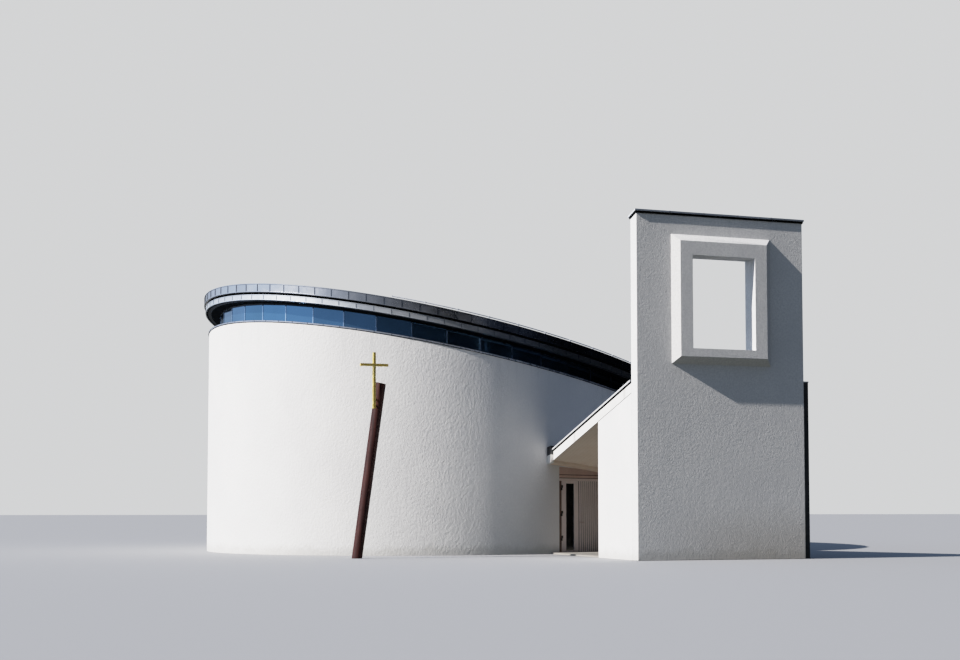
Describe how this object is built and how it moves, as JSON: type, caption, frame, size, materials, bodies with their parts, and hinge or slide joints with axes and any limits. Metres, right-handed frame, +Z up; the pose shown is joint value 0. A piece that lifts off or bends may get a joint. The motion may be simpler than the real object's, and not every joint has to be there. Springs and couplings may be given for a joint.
{
  "type": "church building",
  "caption": "Modern church: an oval white nave under a tilted metal roof with a ribbon of windows, a slab bell wall, a lean-to porch with a hinged double door, and a leaning column with a cross.",
  "frame": {"origin": "middle of the bounding box, on the ground", "axes": "+Z up; +X to the right along the front of the bell wall; +Y from the bell wall back towards the nave"},
  "size_m": [20.4086, 26.2878, 10.2484],
  "materials": {
    "plaster": "rough white render",
    "roof_metal": "weathered grey sheet metal",
    "bright_metal": "bright folded sheet metal",
    "dark_metal": "dark grey coated sheet",
    "dark_soffit": "dark stained boards",
    "roof_core": "timber roof deck",
    "window_frame": "thin satin glazing bars",
    "window_glass": "blue tinted reflective glass",
    "floor": "smooth screed",
    "white_board": "white painted boards",
    "door_wood": "brown glazed wood",
    "door_glass": "dark clear glass",
    "column_steel": "dark red brown rusted steel",
    "gold": "gilded metal"
  },
  "bodies": {
    "church": {"nave_wall_01": "plaster", "nave_wall_02": "plaster", "nave_wall_03": "plaster", "nave_wall_04": "plaster", "nave_wall_05": "plaster", "nave_wall_06": "plaster", "nave_wall_07": "plaster", "nave_wall_08": "plaster", "nave_wall_09": "plaster", "nave_wall_10": "plaster", "nave_wall_over_door": "plaster", "nave_floor": "floor", "wall_coping": "bright_metal", "clerestory_frame": "window_frame", "clerestory_glass": "window_glass", "roof_soffit": "dark_soffit", "roof_deck": "roof_core", "roof_covering": "roof_metal", "lower_fascia": "bright_metal", "upper_fascia": "roof_metal", "snow_guard": "bright_metal", "bell_wall": "plaster", "bell_wall_coping": "roof_metal", "belfry_frame": "plaster", "porch_side_wall": "plaster", "porch_dark_wall": "dark_metal", "porch_floor": "floor", "porch_soffit": "white_board", "porch_roof_deck": "roof_core", "porch_roof_sheet": "roof_metal", "porch_verge_board": "white_board", "porch_gutter": "dark_metal", "gutter_boxing": "white_board", "door_frame": "door_wood", "door_header_panel": "door_wood", "door_threshold": "floor", "cross_column": "column_steel", "gold_cross": "gold"},
    "glazed_door": {"glazed_leaf": "door_wood", "glazed_leaf_glass": "door_glass"},
    "ribbed_door": {"ribbed_leaf": "door_wood", "door_handle": "dark_metal"}
  },
  "joints": [
    {"name": "glazed_door_hinge", "type": "hinge", "parent": "church", "child": "glazed_door", "pos_m": [0.89173, -5.64648, 0], "axis": [0, 0, -1], "range_deg": [0, 90]},
    {"name": "ribbed_door_hinge", "type": "hinge", "parent": "church", "child": "ribbed_door", "pos_m": [2.66727, -4.86478, 0], "axis": [0, 0, 1], "range_deg": [0, 90]}
  ]
}
